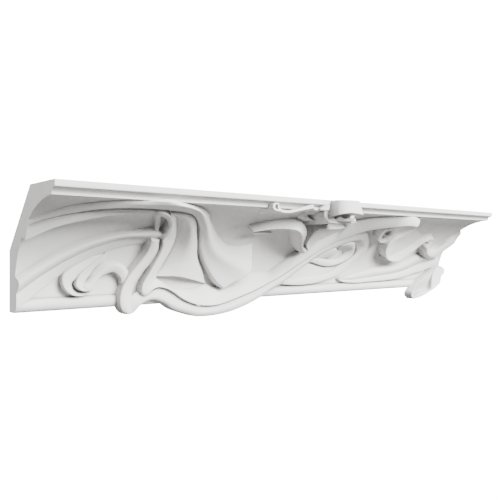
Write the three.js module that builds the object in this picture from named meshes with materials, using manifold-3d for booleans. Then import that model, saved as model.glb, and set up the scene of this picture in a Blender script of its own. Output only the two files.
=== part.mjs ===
// Cornice moulding section in the Art Nouveau manner: a quarter-hollow cove between a
// bottom roll and a top fascia, overlaid with whiplash ribbons, bells, loops and curls.
// Frame, mm: +X along the length, +Y into the wall, +Z up; origin at the middle of the
// flat face that sits on the wall.
import * as THREE from 'three';
import { mergeVertices } from 'three/addons/utils/BufferGeometryUtils.js';
import Module from 'manifold-3d';

// Driving sizes, mm
const length = 1190;            // cut square at both ends
const height = 200;             // bottom edge to ceiling face
const projection = 187;         // wall face to the front of the fascia
const wallSeat = 100;           // height of the flat face on the wall
const ceilingSeat = 95;         // depth of the flat face on the ceiling
const fasciaHeight = 10.6;
const filletHeight = 4.4;       // small square fillet under the fascia
const filletSet = 12;           // fillet face behind the fascia
const cavettoHeight = 6;        // small hollow between fillet and fascia
const coveLip = 1;              // fillet face in front of the cove's top edge
const groundOut = 23.8;         // cove foot, out from the wall
const groundUp = 28;            // cove foot, up from the bottom edge
const coveSpring = 8;           // cove axis in front of the cove's top edge
const rollOut = 31;             // bottom roll, furthest out
const rollUp = 11;              // bottom roll, height of its front
const rollTop = 22.5;           // groove above the roll
const rollFoot = 14;            // flat under the roll, out from the wall
const bedDepth = 4;             // how far the relief runs into the ground
const liftCap = 50;             // degrees: the relief never lifts steeper than this
const coveSteps = 22;
const rollSteps = 7;
const sliver = 0.25;            // facets thinner than this are merged away
const stationGap = 17;          // spacing of the relief's cross sections

// The relief below is laid out on a section 1190 long, 200 high and 187 out; its carving is
// stretched with the driving sizes.
const alongScale = length / 1190;
const upScale = height / 200;
const outScale = projection / 187;

const coveTopUp = height - fasciaHeight - cavettoHeight - filletHeight;
const filletOut = projection - filletSet;
const coveTopOut = filletOut - coveLip;
const coveAxisOut = coveTopOut + coveSpring;
const coveRadiusOut = coveAxisOut - groundOut;
const coveEndSine = Math.sqrt(1 - (coveSpring / coveRadiusOut) ** 2);
const coveRadiusUp = (coveTopUp - groundUp) / coveEndSine;
const coveSweep = Math.asin(coveEndSine);

// Cove point at an angle from its foot: [out, up]
function covePoint(angle) {
  return [coveAxisOut - coveRadiusOut * Math.cos(angle), groundUp + coveRadiusUp * Math.sin(angle)];
}

// Arc length along the front face, starting at the bottom edge, against the cove's angle
const arcTable = [];
{
  const steps = 720;
  let run = groundUp;
  let last = covePoint(0);
  for (let i = 0; i <= steps; i += 1) {
    const angle = (i / steps) * (Math.PI / 2);
    const here = covePoint(angle);
    run += Math.hypot(here[0] - last[0], here[1] - last[1]);
    arcTable.push([run, angle]);
    last = here;
  }
}
const drawnArc = 270.8;         // face length of the drawn section, bottom edge to cove axis
const faceScale = arcTable[arcTable.length - 1][0] / drawnArc;

function coveAngle(run) {
  if (run <= groundUp) return 0;
  let low = 0;
  let high = arcTable.length - 1;
  if (run >= arcTable[high][0]) return arcTable[high][1];
  while (high - low > 1) {
    const mid = (low + high) >> 1;
    if (arcTable[mid][0] > run) high = mid; else low = mid;
  }
  const f = (run - arcTable[low][0]) / (arcTable[high][0] - arcTable[low][0]);
  return arcTable[low][1] + f * (arcTable[high][1] - arcTable[low][1]);
}

// Ground point and lift direction at a run up the face
function ground(run) {
  if (run <= groundUp) return { at: [groundOut, run], lift: [1, 0] };
  const angle = coveAngle(run);
  const tilt = Math.min(Math.atan2(Math.sin(angle) / coveRadiusUp, Math.cos(angle) / coveRadiusOut),
    THREE.MathUtils.degToRad(liftCap));
  return { at: covePoint(angle), lift: [Math.cos(tilt), -Math.sin(tilt)] };
}

// Relief coordinates [along, run up the face, lift] to the part's frame
function onFace(along, run, lift) {
  const g = ground(run * faceScale);
  return [along * alongScale, -(g.at[0] + lift * outScale * g.lift[0]), g.at[1] + lift * outScale * g.lift[1]];
}

// Relief strands. Each has rails running its length, with knots of
// [along from the left end, run up the face from the bottom edge, lift off the ground];
// bulge is the extra lift halfway between two rails, spread over the length;
// lean is how far the side walls fall back level instead of square to the ground;
// bed, where given, is the height of the back over the ground.
const strands = {
  upper_rib_flare: {
    rails: [
      [[-11, 157, 0], [26, 189, 0.5], [49, 211.5, 1], [74, 227, 1.5], [118.5, 251.5, 1.5],
      [155, 261.5, 1.5], [190.5, 269, 1.5], [240, 254, 1.5], [305, 215, 2], [334, 180, 2],
      [429, 113.5, 2], [468.5, 121.5, 4]],
      [[-11, 154.5, 3], [38.5, 195, 4.5], [129, 247.5, 7.5], [194.5, 258.5, 9], [232.5, 258, 11],
      [310, 192, 19], [336, 155.5, 22], [359, 122, 26], [442, 71, 36], [460.5, 59, 39]],
      [[-11, 150, 6], [3, 162, 6], [65.5, 204.5, 9], [97.5, 224, 11], [162.5, 240.5, 13],
      [206, 236.5, 13], [238, 233, 14], [316.5, 157, 16], [329.5, 123.5, 17], [373, 55, 21],
      [388.5, 36, 22], [403, 24, 22]],
    ],
    bulge: [[0, 0, 1.5, 3], [0, 0, 0, -3]], lean: [0, 1],
  },
  lower_rib_bell: {
    rails: [
      [[-10.5, 149, 6], [29, 176.5, 7.5], [103, 213, 9], [215, 223.5, 11], [260.5, 215.5, 12],
      [319.5, 139, 13], [338, 91.5, 12], [363.5, 51, 7], [370.5, 34.5, 4]],
      [[-11.5, 143, 10], [84.5, 198, 11], [144, 216.5, 12], [249.5, 206.5, 16], [299.5, 126, 20],
      [300, 93.5, 21], [296, 70, 21], [296.5, 55, 20]],
      [[-15, 123.5, 16], [0.5, 135, 16], [31.5, 162, 15.5], [86.5, 191, 14.5], [114.5, 203.5, 14],
      [146.5, 210, 14], [200, 214, 14], [243, 196, 11], [267, 160, 7], [278.5, 119, 4], [263.5, 67, 4],
      [251.5, 53.5, 6]],
    ],
    bulge: [[-1.5, -1, 2, 3], [0, 0, -4, 1]], lean: [0, 1],
  },
  middle_rib: {
    rails: [
      [[-8, 53, 1], [66, 106.5, 1], [169.5, 148, 2], [204, 154.5, 4], [226, 161, 10], [238, 155.5, 12]],
      [[-18.5, 37.5, 21.5], [15.5, 66.5, 20.5], [165.5, 147.5, 14], [238, 152, 16]],
      [[-11.5, 22.5, 9], [37, 59.5, 8], [137.5, 120.5, 7], [173, 134, 7], [217, 135.5, 7],
      [241, 136.5, 9], [246.5, 143, 12]],
    ],
    bulge: [[3, 3, 2, 1], [3, 3, 2, 1]], lean: [0, 1],
  },
  lower_rib: {
    rails: [
      [[-11, 23.5, 8.5], [37, 60, 7.5], [138, 120.5, 6], [173, 134, 6], [222, 136, 6]],
      [[-14, -3, 8.5], [23, 22, 7.5], [71.5, 59, 3.5], [181, 114, 3], [232, 124, 3]],
    ],
    bulge: [[1.5, 1, 0.5, 0]], lean: [0, 1],
  },
  hoop_ring: {
    rails: [
      [[189, 226, 15], [195.5, 229.5, 17], [208.5, 225, 19], [226.5, 208, 20], [240, 186.5, 20],
      [246, 155, 19], [240, 142.5, 15]],
      [[198.5, 209.5, 15], [204, 213.5, 17], [215, 206.5, 19], [237, 177, 19.5], [236, 157, 18],
      [230.5, 148, 13]],
    ],
    bulge: [[1, 1, 1, 1]], lean: [0, 0],
  },
  hoop_lip: {
    rails: [
      [[186.5, 223.5, 13], [208.5, 188, 13], [216.5, 173, 13], [221, 159, 12]],
      [[195.5, 225, 13], [208, 204.5, 12], [226.5, 168.5, 9], [228, 158.5, 11]],
    ],
    bulge: [[0, 0, 0, 0]], lean: [0, 0],
  },
  hook_left_strand: {
    rails: [
      [[218, 142.5, 18], [219.5, 124.5, 19], [178, 29, 20], [175.5, 18, 20], [182, -8.5, 17],
      [190, -13.5, 14]],
      [[243, 138, 8], [250, 113.5, 8], [239, 82, 9], [226.5, 66, 10], [217.5, 50.5, 10],
      [210, 38.5, 9], [203.5, 0.5, 11], [203, -8.5, 12], [198.5, -14, 13]],
    ],
    bulge: [[5, 5, 6, 5]], lean: [0, 0],
  },
  hook_right_strand: {
    rails: [
      [[213.5, 226, 17], [228.5, 200, 20], [243, 158, 20], [239.5, 147, 20], [245, 128, 20],
      [232, 68, 22], [218.5, 34, 21], [218.5, 25.5, 20], [225.5, 17, 17]],
      [[241.5, 205.5, 11], [255, 183, 9], [275.5, 131, 8], [259.5, 69, 10], [254.5, 59, 10],
      [253.5, 47, 10], [250, 37.5, 13], [240, 25, 16]],
    ],
    bulge: [[2, 2, 3, 3]], lean: [0, 0],
  },
  small_scroll_back: {
    rails: [
      [[132, 96, 4], [127.5, 95, 5], [103, 83, 7], [85.5, 73, 9], [74, 63, 12], [77, 37.5, 14],
      [92.5, 25, 13], [115.5, 24, 9], [127, 29, 7]],
      [[149, 98, 3], [107.5, 64.5, 9], [100, 55, 9], [92.5, 48.5, 8], [98, 33.5, 5], [115, 28.5, 5],
      [128, 30.5, 5]],
    ],
    bulge: [[0, 1, 2, 2]], lean: [0, 0],
  },
  small_scroll_turn: {
    rails: [
      [[147.5, 100.5, 5], [127.5, 85, 10], [97.5, 56, 16.5], [95, 45, 17], [105.5, 32.5, 17],
      [115, 31, 17]],
      [[152, 81.5, 3], [139, 77, 4], [121, 56.5, 8], [111, 46, 10], [110, 45.5, 10.5],
      [112, 45.5, 11.5]],
    ],
    bulge: [[0, 0, 1, 2]], lean: [0, 0],
  },
  small_scroll_arch: {
    rails: [
      [[110.5, 45.5, 10], [115.5, 48, 8], [130.5, 68, 5], [149, 83.5, 4], [186, 77.5, 6],
      [199.5, 57.5, 9], [198.5, 41, 9]],
      [[110, 40, 17.5], [117, 42.5, 17.5], [123.5, 49, 17], [138, 65, 16], [145, 73.5, 16],
      [167, 82.5, 16], [186.5, 69, 16], [190, 56, 15], [187.5, 40, 13]],
      [[113, 30.5, 16], [121.5, 31.5, 16], [141.5, 57.5, 13], [150, 61.5, 12], [162.5, 66, 13],
      [179, 52.5, 13], [182.5, 40, 12]],
    ],
    bulge: [[0, -1, 0, 0], [0, 0, 1, 1]], lean: [0, 0],
  },
  whiplash_upper: {
    rails: [
      [[236.5, 42, 14], [250.5, 50.5, 9], [264, 45, 7], [289, 32, 5], [307.5, 29, 4], [332, 26, 4],
      [351.5, 29, 3], [371, 34, 2], [388, 29, 2], [460.5, 45, 1], [491, 55, 2], [514, 55, 3],
      [531.5, 54, 3], [563, 72.5, 6], [586.5, 90, 8], [599.5, 101.5, 9], [614.5, 112, 10],
      [646, 149, 12], [685.5, 176, 12], [694, 202.5, 11], [709, 209.5, 9], [726.5, 221.5, 7],
      [821, 252.5, 2], [854, 262, 2], [903, 248.5, 3]],
      [[224, 18, 20], [229.5, 21, 22], [248, 33, 22], [285.5, 22.5, 23], [300, 12, 24], [333, -3, 26],
      [364, -7.5, 27], [439.5, 6, 27], [549.5, 47, 26], [605.5, 83.5, 25], [678, 135.5, 22],
      [698.5, 153, 22], [723, 166, 21], [765.5, 193, 21], [792, 204, 22], [814, 212, 23],
      [829, 227, 25], [848.5, 239, 26], [885, 236, 27]],
    ],
    bulge: [[2, 4, 3, 3]], lean: [0, 1],
  },
  whiplash_lower: {
    rails: [
      [[219, 26.5, 9], [225, 18.5, 13], [243.5, 25.5, 14], [262, 32.5, 14], [277.5, 28, 14],
      [321, 1, 17], [369.5, -9, 19], [446, 4.5, 19], [556, 44, 19], [683.5, 128.5, 17],
      [705.5, 144.5, 16.5], [753, 169.5, 15], [775, 177, 13]],
      [[201, 18.5, 12], [210.5, 9.5, 17], [221, 12, 20], [240, 16.5, 20], [264, 11.5, 20],
      [277, 4.5, 21], [354.5, -17.5, 25], [403.5, -13, 25], [480.5, 8, 25], [570, 44.5, 23],
      [611.5, 72.5, 22], [641, 96, 20.5], [768, 158, 15.5], [789.5, 164.5, 14]],
      [[194.5, -13.5, 13], [201, -13.5, 14], [221, 2.5, 15], [243, 9.5, 15], [267.5, 1.5, 15],
      [280, -7, 16], [319, -22, 17], [337, -27, 18], [359.5, -28.5, 18], [508, 4, 18], [531, 15, 17],
      [564.5, 27.5, 16], [598.5, 48.5, 15], [621.5, 62.5, 14], [699.5, 112, 13], [718, 120, 13],
      [727, 128, 14], [774.5, 145.5, 14.5], [797.5, 141.5, 13.5]],
    ],
    bulge: [[-1, -1.5, -1.5, 0], [1, 2, 1.5, 0.5]], lean: [0, 0],
  },
  centre_curl_left: {
    rails: [
      [[431, 174, 9], [464.5, 188.5, 4], [517, 203.5, 8], [533, 207, 14], [562, 186.5, 30],
      [563.5, 178, 33], [597, 128.5, 29], [611.5, 120, 26]],
      [[433, 173, 20], [494.5, 192, 24], [515, 202, 32], [546.5, 181.5, 38], [557, 166.5, 38],
      [584, 128.5, 32], [600, 114, 28]],
    ],
    bulge: [[1, 2, 2, 2]], lean: [0, 1],
  },
  centre_curl_right: {
    rails: [
      [[618, 118, 22], [601, 137, 26], [589.5, 166, 28], [586.5, 190, 27], [592.5, 197.5, 26],
      [609, 197.5, 24], [676, 190, 15], [706.5, 191.5, 9]],
      [[639, 114.5, 17], [631, 126.5, 17], [638.5, 144, 16], [649, 148, 15], [711, 186.5, 10]],
    ],
    bulge: [[-2, -2, -1, 0]], lean: [0, 0],
  },
  loop_outer: {
    rails: [
      [[564, 27.5, 9], [597, 23.5, 10], [730, 35.5, 11], [763.5, 46, 11], [807, 78, 12],
      [819.5, 90, 12.5], [828, 112, 13.5], [796, 164, 14], [776.5, 175.5, 13]],
      [[565.5, 32.5, 10.5], [595.5, 30, 11.5], [625.5, 31, 12], [749.5, 54, 12], [802.5, 93.5, 13],
      [812, 104.5, 13.5], [816, 116, 14], [776, 144.5, 13.5], [761, 141.5, 13]],
      [[568.5, 39.5, 10], [627, 40.5, 10], [721, 52, 10], [751.5, 67, 10], [781, 81.5, 9],
      [802.5, 103.5, 6], [793, 122, 6], [783, 128.5, 7]],
    ],
    bulge: [[0.5, 0.5, 0.5, 0], [0.5, 0.5, 0, -3]], lean: [1, 0],
  },
  loop_floor: {
    rails: [
      [[585.5, 35, 5], [679.5, 36.5, 6], [781.5, 79, 6], [795.5, 90.5, 5]],
      [[615.5, 64.5, 5], [635.5, 71.5, 5], [699.5, 64, 5], [734.5, 62.5, 5], [764, 69.5, 5],
      [785, 81, 5]],
    ],
    bulge: [[1, 1, 1, 1]], lean: [0, 0],
  },
  loop_inner: {
    rails: [
      [[649, 78, 9], [720, 66, 11], [770, 82.5, 13.5], [780.5, 90, 14], [765.5, 137.5, 16],
      [743, 136, 15]],
      [[657.5, 87, 10], [688, 79.5, 11], [748.5, 81.5, 12.5], [774.5, 100.5, 14.5],
      [775.5, 113, 15.5], [742.5, 126.5, 15], [729.5, 123.5, 14]],
      [[664, 86.5, 7], [684.5, 88.5, 7], [707, 84, 7], [757.5, 90.5, 3], [763.5, 96.5, 2],
      [761, 102.5, 2], [739, 109, 4]],
    ],
    bulge: [[0.8, 0.8, 0.8, 0.5], [0.5, 0.5, -2.5, -2.5, -1]], lean: [0, 0],
  },
  loop_eye: {
    rails: [
      [[672, 88, 8], [697.5, 113.5, 14], [708.5, 119, 14.5], [719.5, 116.5, 14]],
      [[683.5, 86, 7.5], [701.5, 87, 9], [724.5, 96.5, 12], [726.5, 106, 13]],
    ],
    bulge: [[1, 2, 2.5, 2]], lean: [0, 0],
  },
  small_spiral: {
    rails: [
      [[895, 174, 24], [871, 159.5, 26], [857.5, 151, 26], [842, 151, 26], [814.5, 182, 25],
      [810, 197.5, 24], [827.5, 207.5, 21], [845, 200.5, 21], [859, 189.5, 21], [868, 166.5, 20],
      [860.5, 163.5, 19]],
      [[899, 172, 17], [875.5, 160.5, 19], [862.5, 156, 20], [842.5, 161, 21], [835, 186, 19],
      [848, 191.5, 18], [862.5, 175, 18], [862, 170.5, 17], [857, 169.5, 17]],
    ],
    bulge: [[0, 0, 0, 0]], lean: [0, 0],
  },
  ribbon_turn: {
    rails: [
      [[986, 184.5, -2], [919.5, 160, 15], [896, 152.5, 20], [884, 142, 25], [881.5, 127, 29],
      [901.5, 95.5, 30], [916, 86.5, 30]],
      [[1083.5, 154, -3], [1042.5, 144.5, 2], [1000.5, 117, 8], [952, 102, 16], [922, 100, 21]],
    ],
    bulge: [[-1, -2, -2, 0]], lean: [0, 0],
  },
  ribbon_arm: {
    rails: [
      [[915, 100, 22], [948, 104, 18.5], [993, 120.5, 12.5], [1030.5, 150.5, 8], [1060.5, 165, 7]],
      [[909.5, 90.5, 29], [932.5, 82.5, 28], [991, 99.5, 23], [1003, 110.5, 22], [1027.5, 129.5, 20],
      [1034, 143, 20], [1064, 159, 18], [1084.5, 150.5, 18]],
    ],
    bulge: [[0, 0.5, 1, 1]], lean: [0, 0.6],
  },
  end_rib_upper: {
    rails: [
      [[1129, 127.5, 0.5], [1159.5, 154.5, 0.5], [1180.5, 174, 0.5], [1191, 197, 0]],
      [[1134, 120.5, 4], [1158.5, 153, 5], [1163, 171.5, 6], [1174, 197, 6]],
    ],
    bulge: [[0, 0]], lean: [0, 1],
  },
  end_hook: {
    rails: [
      [[1115, 133, 2], [1110.5, 126.5, 5], [1081.5, 122.5, 22], [1088, 123, 22], [1126.5, 141.5, 15],
      [1163, 171, 7], [1175, 196, 7]],
      [[1077.5, 144.5, 12], [1048.5, 140, 24], [1048.5, 129.5, 28], [1058.5, 116, 29],
      [1113.5, 97, 27], [1128.5, 104.5, 25], [1171.5, 123.5, 19], [1190.5, 138, 16], [1227.5, 146, 16]],
    ],
    bulge: [[0, -0.5, 1, 1]], lean: [0, 0],
  },
  tongue_upper: {
    rails: [
      [[773.5, 37, 2], [895, 58, 3], [935.5, 61, 3], [1031.5, 76.5, 3], [1073.5, 85, 3],
      [1111, 87, 5], [1143.5, 86, 10]],
      [[758.5, 35, 9], [800, 36.5, 11], [850.5, 44, 12], [991, 60, 15], [1021.5, 69.5, 16],
      [1093.5, 85.5, 15], [1140.5, 86, 13]],
      [[757.5, 32, 7], [800, 29, 8], [879, 34, 8], [1007, 46.5, 8], [1117, 76.5, 9],
      [1146.5, 82.5, 11]],
    ],
    bulge: [[1, 1.5, 2, 1], [1, 1, 1.5, 0.5]], lean: [0, 0],
  },
  tongue_lower: {
    rails: [
      [[758.5, 33, 6], [801, 30, 7], [880.5, 35, 7], [1007.5, 47.5, 7.5], [1116, 78.5, 9],
      [1142.5, 85, 12], [1157.5, 82.5, 14]],
      [[755.5, 33, 7], [762.5, 28, 8], [801.5, 21, 9.5], [874, 21, 9.5], [1018.5, 29.5, 9.5],
      [1063, 38.5, 10], [1096.5, 43.5, 10], [1123, 51, 11], [1170.5, 57.5, 13]],
    ],
    bulge: [[2, 2.5, 3, 3]], lean: [0, 1],
  },
  hanging_leaf: {
    rails: [
      [[1149.5, 61.5, 20], [1136, 51, 22], [1108.5, 38.5, 24], [1035.5, -6, 27], [1027, -18.5, 26],
      [1029.5, -26, 24]],
      [[1146, 59, 24], [1128.5, 37.5, 24], [1113.5, 18.5, 20], [1101, 1, 15], [1060.5, -17.5, 15],
      [1033.5, -27, 23]],
      [[1146, 58.5, 25], [1128.5, 45.5, 27.5], [1116, 12.5, 28.5], [1116.5, 0.5, 27.5],
      [1098, -9, 27], [1055, -15, 25], [1033.5, -28, 24]],
      [[1149.5, 63, 26], [1161, 61, 28], [1170.5, 52, 32], [1170, 42.5, 34], [1156, 28.5, 34],
      [1153, 15, 34], [1111.5, -9, 31], [1054.5, -27, 27], [1038.5, -29, 25]],
    ],
    bulge: [[-0.5, -2, -2, 0], [0, 0, 0, 0], [-1, -5, -1, 0]], lean: [0, 0],
    bed: 2.5,
  },
};

// Shell and crest over the fillet and fascia. Knots of [along, out from the wall, up];
// depth is how far each runs back.
const crest = {
  shell_drum: {
    depth: [70, 105], rails: [
      [[561.5, 194, 199], [562, 205, 199], [569, 213, 199], [585, 218.5, 199], [608, 221.5, 199]],
      [[565.5, 192, 168], [564.5, 203, 169.5], [571, 211.5, 171.5], [585.5, 218, 173.5],
      [601.5, 221, 172.5], [618.5, 222.5, 171]],
    ],
  },
  shell_lip: {
    depth: [95, 105], rails: [
      [[577.5, 180, 162], [582, 186, 164], [583.5, 190, 168], [586, 193, 167.5], [588.5, 196, 164],
      [597.5, 200, 163.5], [617.5, 203, 165]],
      [[577.5, 180, 159.5], [583.5, 186, 159], [588, 190, 158.5], [592.5, 194, 158.5],
      [600, 198, 158.5], [611.5, 201, 159], [619.5, 203, 158]],
    ],
  },
  shell_neck: {
    depth: [90, 95], rails: [
      [[592.5, 170, 169.5], [601.5, 178, 172], [616, 184, 174.5], [629.5, 186, 174]],
      [[592.5, 170, 163], [601.5, 178, 165], [616, 184, 164.5], [623, 186, 164.5]],
    ],
  },
  shell_lobe: {
    depth: [85, 90], rails: [
      [[577, 180, 183], [585, 172, 176.5], [590.5, 168, 169], [594, 170, 163], [602.5, 177, 160.5],
      [616, 184, 160], [631, 191, 159.5]],
      [[553.5, 178, 176.5], [554, 176, 170], [559, 176, 163], [564.5, 178, 157], [577, 181, 154.5],
      [601.5, 186, 155.5], [632.5, 191, 157]],
    ],
  },
  crest_ribbon: {
    depth: [64, 64], rails: [
      [[419, 190, 185.5], [420.5, 190, 180], [425, 190, 176], [434.5, 190, 175], [449, 189, 175],
      [463.5, 188, 177], [476.5, 189, 180.5], [490, 190, 184], [499.5, 191, 186.5], [508, 192, 188]],
      [[415.5, 190, 185.5], [416.5, 190, 179], [418.5, 190, 174.5], [423, 190, 171.5],
      [433.5, 189, 169.5], [451.5, 188, 170.5], [468.5, 188, 173.5], [485.5, 189, 177],
      [502.5, 190, 180], [508, 192, 181]],
    ],
  },
  crest_hook: {
    depth: [50, 50], rails: [
      [[419, 190, 187], [411.5, 190, 186.5], [405.5, 190, 183.5], [404, 190, 179.5],
      [406.5, 190, 175], [413, 190, 172.5], [421.5, 190, 171.5]],
      [[419, 190, 184.5], [413.5, 190, 184.5], [410, 190, 182], [409, 190, 179.5], [411, 190, 177],
      [414, 190, 175.5], [420.5, 190, 174.5]],
    ],
  },
  crest_leaf: {
    depth: [55, 55], rails: [
      [[530.5, 187, 181], [539.5, 190, 186.5], [547, 193, 189.5], [553, 193, 188]],
      [[532.5, 186, 179], [538.5, 188, 179], [545.5, 190, 178.5], [552, 191, 179.5]],
    ],
  },
  crest_tip: {
    depth: [50, 50], rails: [
      [[512, 187, 184], [518, 188, 183.5], [523.5, 188, 181]],
      [[513, 186, 179.5], [518, 187, 178], [523.5, 187, 178]],
    ],
  },
  side_spiral: {
    depth: [32, 32], rails: [
      [[565, 168, 179.5], [546, 164, 178.5], [532, 158, 178], [525.5, 152, 176], [523.5, 147, 172],
      [528, 143, 167], [537, 142, 163], [549.5, 144, 161], [564.5, 149, 160.5], [577.5, 156, 161]],
      [[568, 165, 176.5], [556, 160, 175.5], [549, 154, 173.5], [547, 147, 172.5],
      [545.5, 141, 172.5], [549, 137, 169.5], [553, 138, 166.5], [557, 141, 164], [566.5, 147, 162.5],
      [580, 154, 163]],
    ],
  },
};

// Hermite spline through knots, sampled at equal shares of its length
function sampleRail(knots, count) {
  const at = [0];
  for (let i = 1; i < knots.length; i += 1) {
    at.push(at[i - 1] + Math.max(1e-6, Math.hypot(knots[i][0] - knots[i - 1][0], knots[i][1] - knots[i - 1][1])));
  }
  const total = at[at.length - 1];
  for (let i = 0; i < at.length; i += 1) at[i] /= total;
  const last = knots.length - 1;
  const slope = (i, k) => (knots[i + 1][k] - knots[i][k]) / (at[i + 1] - at[i]);
  const tangent = (i, k) => {
    if (i === 0) return slope(0, k);
    if (i === last) return slope(last - 1, k);
    const before = at[i] - at[i - 1];
    const after = at[i + 1] - at[i];
    return (slope(i - 1, k) * after + slope(i, k) * before) / (before + after);
  };
  const out = [];
  let i = 0;
  for (let n = 0; n < count; n += 1) {
    const q = n / (count - 1);
    while (i < last - 1 && q > at[i + 1]) i += 1;
    const h = at[i + 1] - at[i];
    const w = Math.min(1, (q - at[i]) / h);
    out.push([0, 1, 2].map((k) => (2 * w ** 3 - 3 * w ** 2 + 1) * knots[i][k]
      + (w ** 3 - 2 * w ** 2 + w) * h * tangent(i, k)
      + (3 * w ** 2 - 2 * w ** 3) * knots[i + 1][k]
      + (w ** 3 - w ** 2) * h * tangent(i + 1, k)));
  }
  return out;
}

function railLength(knots) {
  let sum = 0;
  for (let i = 1; i < knots.length; i += 1) {
    sum += Math.hypot(knots[i][0] - knots[i - 1][0], knots[i][1] - knots[i - 1][1]);
  }
  return sum;
}

const mix = (a, b, w) => a + (b - a) * w;

// Closed surface from a grid of front points and a matching grid of back points
function closedSheet(front, back) {
  const rows = front.length;
  const cols = front[0].length;
  const positions = [];
  for (const grid of [front, back]) for (const row of grid) for (const p of row) positions.push(...p);
  const id = (side, r, c) => side * rows * cols + r * cols + c;
  const index = [];
  const quad = (a, b, c, d) => index.push(a, b, c, a, c, d);
  for (let r = 0; r < rows - 1; r += 1) {
    for (let c = 0; c < cols - 1; c += 1) {
      quad(id(0, r, c), id(0, r, c + 1), id(0, r + 1, c + 1), id(0, r + 1, c));
      quad(id(1, r, c), id(1, r + 1, c), id(1, r + 1, c + 1), id(1, r, c + 1));
    }
    quad(id(0, r, 0), id(0, r + 1, 0), id(1, r + 1, 0), id(1, r, 0));
    quad(id(0, r, cols - 1), id(1, r, cols - 1), id(1, r + 1, cols - 1), id(0, r + 1, cols - 1));
  }
  for (let c = 0; c < cols - 1; c += 1) {
    quad(id(0, 0, c), id(1, 0, c), id(1, 0, c + 1), id(0, 0, c + 1));
    quad(id(0, rows - 1, c), id(0, rows - 1, c + 1), id(1, rows - 1, c + 1), id(1, rows - 1, c));
  }
  const geometry = new THREE.BufferGeometry();
  geometry.setAttribute('position', new THREE.Float32BufferAttribute(positions, 3));
  geometry.setIndex(index);
  return geometry;
}

function volumeOf(geometry) {
  const p = geometry.attributes.position;
  const ix = geometry.index;
  const v = [0, 1, 2].map(() => new THREE.Vector3());
  let sum = 0;
  for (let i = 0; i < ix.count; i += 3) {
    for (let k = 0; k < 3; k += 1) v[k].fromBufferAttribute(p, ix.getX(i + k));
    sum += v[0].dot(v[1].clone().cross(v[2])) / 6;
  }
  return sum;
}

function strandGeometry({ rails, bulge, lean, bed = -bedDepth }) {
  const longest = Math.max(...rails.map(railLength));
  const count = Math.max(5, Math.round(longest / stationGap) + 1);
  const sampled = rails.map((knots) => sampleRail(knots, count));
  const front = [];
  const back = [];
  for (let n = 0; n < count; n += 1) {
    const share = n / (count - 1);
    const frontRow = [];
    const backRow = [];
    for (let g = 0; g < rails.length - 1; g += 1) {
      const rise = bulge[g];
      const spot = share * (rise.length - 1);
      const step = Math.min(rise.length - 2, Math.floor(spot));
      const extra = mix(rise[step], rise[step + 1], spot - step);
      const parts = Math.abs(rise.reduce((a, b) => (Math.abs(b) > Math.abs(a) ? b : a))) > 0.9 ? 2 : 1;
      for (let c = g === 0 ? 0 : 1; c <= parts; c += 1) {
        const w = c / parts;
        const k = [0, 1, 2].map((j) => mix(sampled[g][n][j], sampled[g + 1][n][j], w));
        k[2] += extra * 4 * w * (1 - w);
        frontRow.push(onFace(...k));
        const edge = g === 0 && c === 0 ? lean[0] : (g === rails.length - 2 && c === parts ? lean[1] : 0);
        const foot = onFace(k[0], k[1], bed);
        if (edge > 0) {
          const top = frontRow[frontRow.length - 1];
          const reach = Math.hypot(foot[1] - top[1], foot[2] - top[2]);
          const dir = [(foot[1] - top[1]) / reach + edge, (foot[2] - top[2]) / reach];
          const unit = Math.hypot(...dir);
          const gain = (k[2] > 0 ? 1 : 0) * reach;
          foot[1] = top[1] + (dir[0] / unit) * (gain * 1.25 + bedDepth);
          foot[2] = top[2] + (dir[1] / unit) * (gain * 1.25 + bedDepth);
        }
        backRow.push(foot);
      }
    }
    front.push(frontRow);
    back.push(backRow);
  }
  return closedSheet(front, back);
}

function crestGeometry({ rails, depth }) {
  const longest = Math.max(...rails.map((r) => railLength(r)));
  const count = Math.max(5, Math.round(longest / (stationGap * 0.6)) + 1);
  const sampled = rails.map((knots) => sampleRail(knots, count));
  const place = (k, inset) => [k[0] * alongScale, -(k[1] * outScale - inset), k[2] * upScale];
  const front = [];
  const back = [];
  for (let n = 0; n < count; n += 1) {
    front.push(sampled.map((rail) => place(rail[n], 0)));
    back.push(sampled.map((rail, r) => place(rail[n], depth[r] * outScale)));
  }
  return closedSheet(front, back);
}

// Section of the plain moulding: [out, up], walked round from the back bottom edge
function sectionPoints() {
  const points = [[0, 0], [rollFoot, 0]];
  const rollCentre = [rollOut - rollUp, rollUp];
  for (let i = 1; i <= rollSteps; i += 1) {
    const turn = mix(-Math.PI * 0.42, Math.PI * 0.42, i / (rollSteps + 1));
    points.push([rollCentre[0] + rollUp * Math.cos(turn), rollCentre[1] + rollUp * Math.sin(turn)]);
  }
  points.push([groundOut - 1.3, rollTop], [groundOut, rollTop + 0.8], [groundOut, groundUp]);
  for (let i = 1; i <= coveSteps; i += 1) points.push(covePoint((coveSweep * i) / coveSteps));
  points.push([filletOut, coveTopUp], [filletOut, coveTopUp + filletHeight]);
  const hollow = coveTopUp + filletHeight;
  points.push([filletOut + 2, hollow + cavettoHeight * 0.42], [filletOut + 6, hollow + cavettoHeight * 0.78]);
  points.push([projection - 2, hollow + cavettoHeight], [projection, hollow + cavettoHeight + 1]);
  points.push([projection, height], [projection - ceilingSeat, height], [0, wallSeat]);
  return points;
}

const wasm = await Module();
wasm.setup();

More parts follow.
